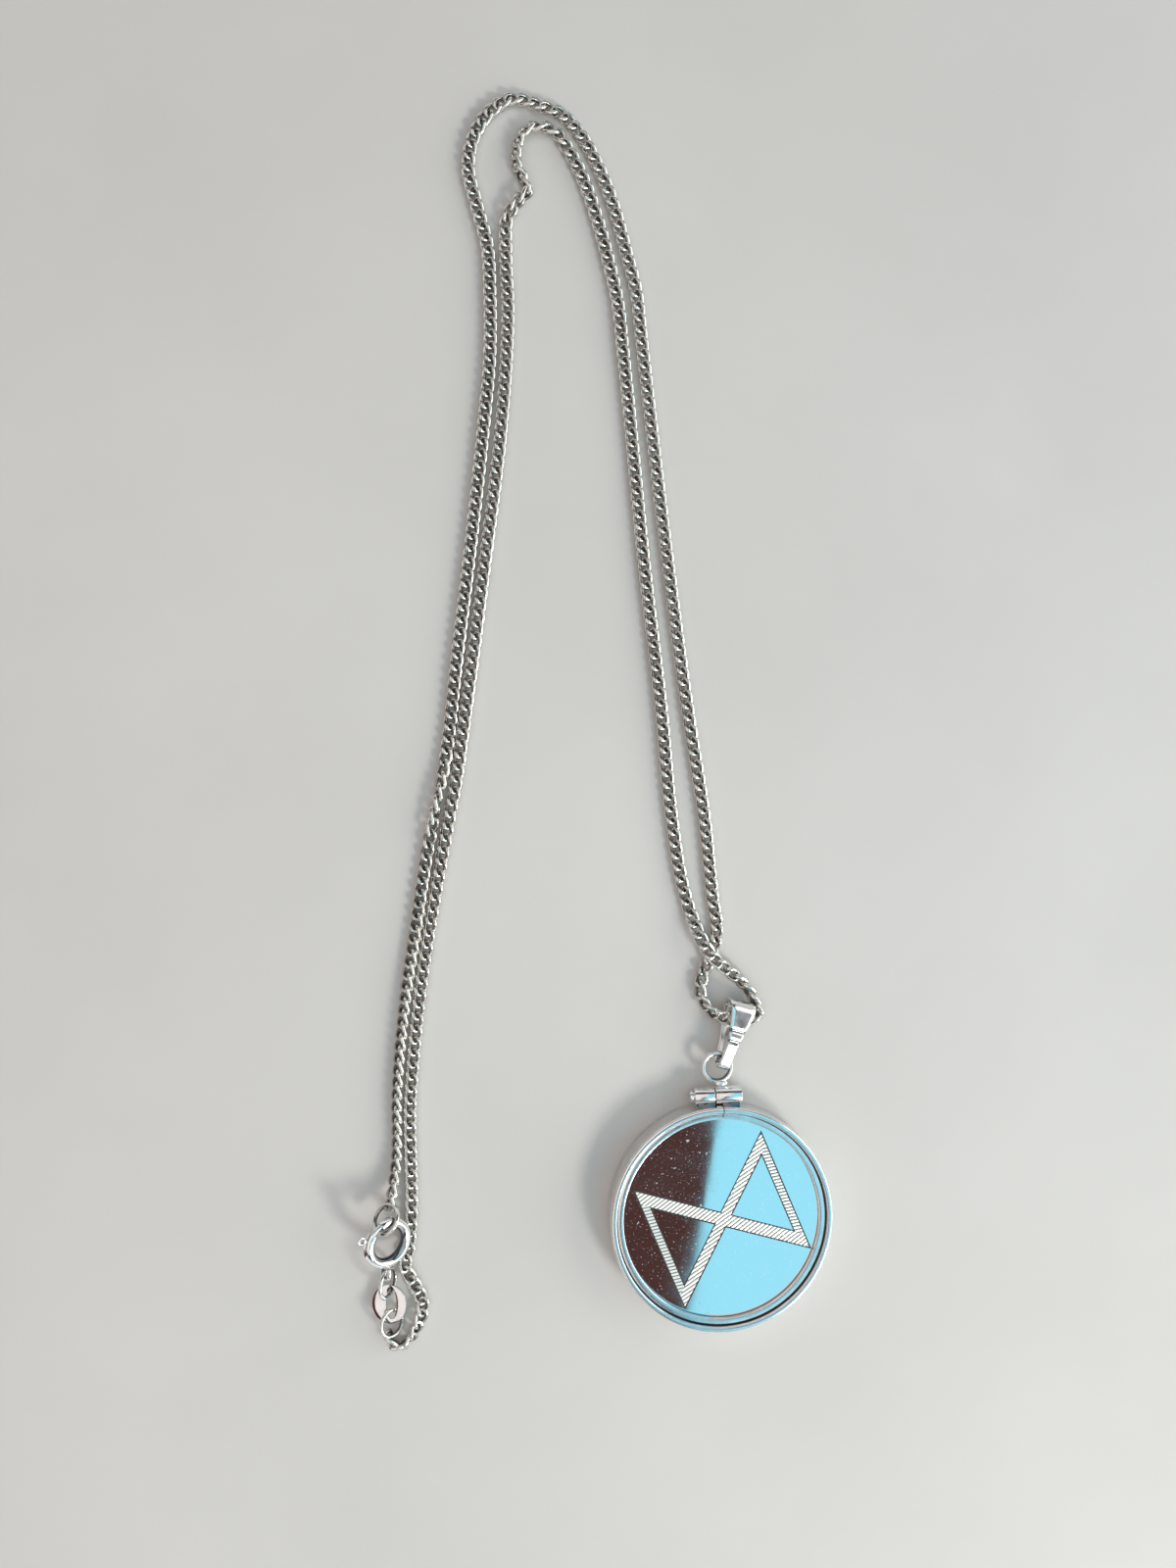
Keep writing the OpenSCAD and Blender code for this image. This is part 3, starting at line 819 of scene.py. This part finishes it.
def slope(points, i):
    """How a route climbs at a point, from the points on each side and their distances."""
    before, after = points[max(i - 1, 0)], points[min(i + 1, len(points) - 1)]
    here = points[i]
    back = (here.xyz - before.xyz).length or 1
    ahead = (after.xyz - here.xyz).length or 1
    first, second = (here - before) / back, (after - here) / ahead
    if i == 0:
        return second
    if i == len(points) - 1:
        return first
    return (first * ahead + second * back) / (back + ahead)


def along_route(points, step):
    """Points about a step apart on a smooth curve through the route, rolls included, and its direction."""
    fine = []
    for i in range(len(points) - 1):
        start, end = points[i], points[i + 1]
        length = (end.xyz - start.xyz).length
        leave, arrive = slope(points, i) * length, slope(points, i + 1) * length
        parts = max(2, math.ceil(length / ROUTE_FINE))
        for k in range(parts):
            t = k / parts
            weights = (2 * t**3 - 3 * t**2 + 1, t**3 - 2 * t**2 + t, 3 * t**2 - 2 * t**3, t**3 - t**2)
            here = start * weights[0] + leave * weights[1] + end * weights[2] + arrive * weights[3]
            here.w = start.w + (end.w - start.w) * t
            fine.append(here)
    fine.append(points[-1])
    lengths = [0.0]
    for near, far in zip(fine, fine[1:]):
        lengths.append(lengths[-1] + (far.xyz - near.xyz).length)
    gap = lengths[-1] / round(lengths[-1] / step)
    even = []
    k = 0
    for i in range(round(lengths[-1] / gap) + 1):
        while k < len(fine) - 2 and lengths[k + 1] < i * gap:
            k += 1
        near, far = fine[k], fine[k + 1]
        here = near.lerp(far, min((i * gap - lengths[k]) / (lengths[k + 1] - lengths[k]), 1))
        even.append((here, (far.xyz - near.xyz).normalized()))
    return even


def curb_link():
    """One twisted oval link, lying flat along X, with the outer side of its wire marked as well."""
    maker = wire_circle(1.0, WIRE_R, sides=WIRE_SIDES, steps=LINK_STEPS)
    outer = maker.verts.layers.float.new("outer")
    for v in maker.verts:
        turn = math.atan2(v.co.y, v.co.x)
        out = v.co.xy.length - 1.0
        middle = Vector((LINK_LONG / 2 * math.cos(turn), LINK_WIDE / 2 * math.sin(turn), 0))
        outward = Vector((LINK_WIDE * math.cos(turn), LINK_LONG * math.sin(turn), 0)).normalized()
        rise = LINK_TWIST * math.sin(2 * turn) + v.co.z
        v.co = middle + outward * out
        v.co.z = min(max(rise, -FACE_HALF), FACE_HALF)
        v.co.y = min(max(v.co.y, -SIDE_HALF), SIDE_HALF)
        v[outer] = max(0, out / WIRE_R)
    return maker


link_mesh = bpy.data.meshes.new("one_link")
one_link = curb_link()
one_link.to_mesh(link_mesh)
one_link.free()
route = [Vector((x * MM, y * MM, z * MM, math.radians(roll))) for x, y, z, roll in ROUTE]
route.insert(0, route[0] + (route[0] - route[1]) / (route[1].xyz - route[0].xyz).length * LINK_LEAD)
route.append(route[-1] + (route[-1] - route[-2]) / (route[-1].xyz - route[-2].xyz).length * LINK_TAIL)
places = along_route(route, LINK_PITCH)
chain_maker = bmesh.new()
tarnish_and_shade = chain_maker.verts.layers.float.new("tarnish_and_shade")
outer = chain_maker.verts.layers.float.new("outer")
for here, ahead in places:
    side = ahead.cross(Vector((0, 0, 1))).normalized()
    up = side.cross(ahead)
    width = side * math.cos(here.w) + up * math.sin(here.w)
    face = up * math.cos(here.w) - side * math.sin(here.w)
    place = Matrix((ahead, -width, face)).transposed().to_4x4()
    place.translation = here.xyz
    count = len(chain_maker.verts)
    chain_maker.from_mesh(link_mesh)
    chain_maker.verts.ensure_lookup_table()
    link = chain_maker.verts[count:]
    bmesh.ops.transform(chain_maker, matrix=place, verts=link)
    inward = Vector()
    for axis in range(3):
        reach = [v.co[axis] for v in link]
        inward[axis] = max(cad_box[0][axis] - min(reach), 0)
        inward[axis] += min(cad_box[1][axis] - max(reach), 0)
    bmesh.ops.translate(chain_maker, vec=inward, verts=link)
    # The undersides of the links take painted shade as dark as their holes, but their outer sides stay
    # bright.
    for v in link:
        underside_shade = min(max((here.z - v.co.z) / UNDERSIDE_SHADE_DEPTH, 0), 1)
        v[tarnish_and_shade] = max(v[tarnish_and_shade], underside_shade * (1 - v[outer]))
bpy.data.meshes.remove(link_mesh)
smooth_faces(chain_maker, LINK_CRISP)
chain_piece = new_piece("curb_links", chain_maker)
chain_silver = silver(
    "chain_silver", tint=(0.93, 0.915, 0.87), shade=(0.72, 0.70, 0.64), rough=(0.12, 0.26)
)
chain_silver.coat(chain_piece, "chain_silver")
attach(chain_piece, "necklace")
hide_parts("chain")


# Joining rings.
# Plain round rings of bent silver wire, each closed at a fine seam. The jump ring joins the chain to the
# clasp, the tag's link joins the clasp's eyelet to the tag, and the end link joins the tag to the chain.
# Each has its centre in millimetres, its turns about X and Y in degrees, its radius and its wire's radius.
RINGS = {
    "jump_ring": ((-27.48, -65.57, 3.12), (-31.3, -39.2), 1.84, 0.31),
    "tag_link": ((-27.3, -74.3, 2.26), (2.9, 63.2), 1.89, 0.27),
    "end_link": ((-26.83, -79.94, 1.48), (-2.4, 40.8), 1.7, 0.26),
}
SEAM = math.radians(1.4)


def tilted(at, turn_x, turn_y):
    """A place at a point, turned about X and then about Y, in degrees."""
    about_x = Matrix.Rotation(math.radians(turn_x), 4, "X")
    about_y = Matrix.Rotation(math.radians(turn_y), 4, "Y")
    return Matrix.Translation(at) @ about_y @ about_x


for node, (at, turns, ring_r, wire_r) in RINGS.items():
    maker = wire_circle(ring_r * MM, wire_r * MM, start=SEAM, sweep=math.tau - SEAM)
    bmesh.ops.transform(maker, matrix=tilted(Vector(at) * MM, *turns), verts=maker.verts)
    smooth_faces(maker)
    piece = new_piece(node + "_wire", maker)
    chain_silver.coat(piece, "chain_silver")
    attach(piece, "necklace")
    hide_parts(node)


# Spring ring.
# A hollow round silver tube bent to a ring, open at its upper left, where a curved bolt closes it. A slot
# in the tube's outside lets the bolt's thumb loop travel, and a small wire eyelet is soldered below.
# The gap and the slot are given by their ends, in degrees round the ring.
CLASP_AT = Vector((-27.25, -68.51, 3.48)) * MM
CLASP_TURN = (5.7, 34.9)
CLASP_R = 2.72 * MM
TUBE_R = 0.7 * MM
TUBE_WALL = 0.3 * MM
GAP = (115, 145)
SLOT = (156.5, 204.5)
SLOT_SWING = math.radians(24)
TUBE_SIDES = 36
TUBE_STEPS = 165
EYELET_Y = -4.05 * MM
EYELET_R = 0.9 * MM
EYELET_WIRE_R = 0.25 * MM
CLASP_CRISP = math.radians(50)

clasp_place = tilted(CLASP_AT, *CLASP_TURN)
around = [math.tau * (i + 0.5) / TUBE_SIDES for i in range(TUBE_SIDES)]
tube_section = [(CLASP_R + TUBE_R * math.cos(a), TUBE_R * math.sin(a)) for a in around]
tube = turned(tube_section, math.radians(GAP[1]), math.radians(360 - GAP[1] + GAP[0]), TUBE_STEPS)
opened = [f for f in tube.faces if len(f.verts) > 4]
for f in tube.faces:
    at = f.calc_center_median()
    turn = math.degrees(math.atan2(at.y, at.x)) % 360
    swing = math.atan2(at.z, at.xy.length - CLASP_R)
    if SLOT[0] < turn < SLOT[1] and abs(swing) < SLOT_SWING:
        opened.append(f)
bmesh.ops.delete(tube, geom=opened, context="FACES")
# The tube's inner side takes tarnish and painted shade.
mark_hole_side_shade(tube, CLASP_R, TUBE_R)
bmesh.ops.solidify(tube, geom=tube.faces[:], thickness=TUBE_WALL)
eyelet_place = Matrix.Translation((0, EYELET_Y, 0)) @ Matrix.Rotation(math.pi / 2, 4, "Y")
add_copy(tube, wire_circle(EYELET_R, EYELET_WIRE_R, steps=48), eyelet_place)
bmesh.ops.transform(tube, matrix=clasp_place, verts=tube.verts)
smooth_faces(tube, CLASP_CRISP)
clasp_piece = new_piece("spring_ring_tube", tube)
clasp_silver = silver(
    "clasp_silver", tint=(0.93, 0.935, 0.93), shade=(0.82, 0.83, 0.83),
    rough=(0.05, 0.14), tarnish_shade_colour=NAVY_TARNISH_SHADE,
)
clasp_silver.coat(clasp_piece, "clasp_silver")
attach(clasp_piece, "necklace")
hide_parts("clasp_ring")


# Clasp bolt.
# A curved solid silver wire that slides inside the spring ring's tube and closes its gap. Its thumb piece
# is a short stem with a small round loop, soldered on. Its ends are given in degrees round the ring.
BOLT_R = 0.33 * MM
BOLT = (111, 206.5)
NUB_ANGLE = math.radians(163.5)
NUB_AT = 4.05 * MM
NUB_LOOP_R = 0.42 * MM
NUB_WIRE_R = 0.15 * MM
STEM_FROM = 2.95 * MM
STEM_HALF = 0.17 * MM
STEM_SOFT = 0.05 * MM

bolt_start = math.radians(BOLT[0])
bolt_sweep = math.radians(BOLT[1] - BOLT[0])
bolt = wire_circle(CLASP_R, BOLT_R, sides=20, steps=40, start=bolt_start, sweep=bolt_sweep)
stem_low = (STEM_FROM, -STEM_HALF, -NUB_WIRE_R)
stem_high = (NUB_AT - NUB_LOOP_R, STEM_HALF, NUB_WIRE_R)
nub = block(stem_low, stem_high, STEM_SOFT)
thumb_loop = wire_circle(NUB_LOOP_R, NUB_WIRE_R, sides=12, steps=32)
add_copy(nub, thumb_loop, Matrix.Translation((NUB_AT, 0, 0)))
add_copy(bolt, nub, Matrix.Rotation(NUB_ANGLE, 4, "Z"))
bmesh.ops.transform(bolt, matrix=clasp_place, verts=bolt.verts)
smooth_faces(bolt, CLASP_CRISP)
bolt_piece = new_piece("bolt_and_thumb_loop", bolt)
clasp_silver.coat(bolt_piece, "clasp_silver")
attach(bolt_piece, "bolt")
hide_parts("clasp_bolt")


# Tag.
# A thin oval silver plate with a long oval hole, stamped out and tumbled, so that its edges are soft.
# It hangs between the tag's link and the end link, and its faces are bare.
TAG_AT = Vector((-27.16, -77.45, 1.36)) * MM
TAG_TURN = (0.7, -13.8)
TAG_HALF = Vector((2.35, 2.6)) * MM
HOLE_HALF = Vector((0.68, 2.0)) * MM
HOLE_AT = Vector((0.3, 0.1)) * MM
TAG_T = 0.4 * MM
TAG_SOFT = 0.09 * MM
TAG_SIDES = 64

plate = bmesh.new()
for half, at in ((TAG_HALF, Vector((0, 0))), (HOLE_HALF, HOLE_AT)):
    made = bmesh.ops.create_circle(plate, segments=TAG_SIDES, radius=1)["verts"]
    bmesh.ops.scale(plate, vec=(half.x, half.y, 1), verts=made)
    bmesh.ops.translate(plate, vec=(at.x, at.y, -TAG_T / 2), verts=made)
bmesh.ops.bridge_loops(plate, edges=plate.edges[:])
thick = bmesh.ops.extrude_face_region(plate, geom=plate.faces[:])["geom"]
upper_verts = [g for g in thick if isinstance(g, bmesh.types.BMVert)]
bmesh.ops.translate(plate, vec=(0, 0, TAG_T), verts=upper_verts)
bmesh.ops.recalc_face_normals(plate, faces=plate.faces)
plate.normal_update()
rounded(plate, bent_edges(plate), TAG_SOFT)
bmesh.ops.transform(plate, matrix=tilted(TAG_AT, *TAG_TURN), verts=plate.verts)
smooth_faces(plate)
tag_piece = new_piece("oval_tag", plate)
clasp_silver.coat(tag_piece, "clasp_silver")
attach(tag_piece, "necklace")
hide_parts("tag")
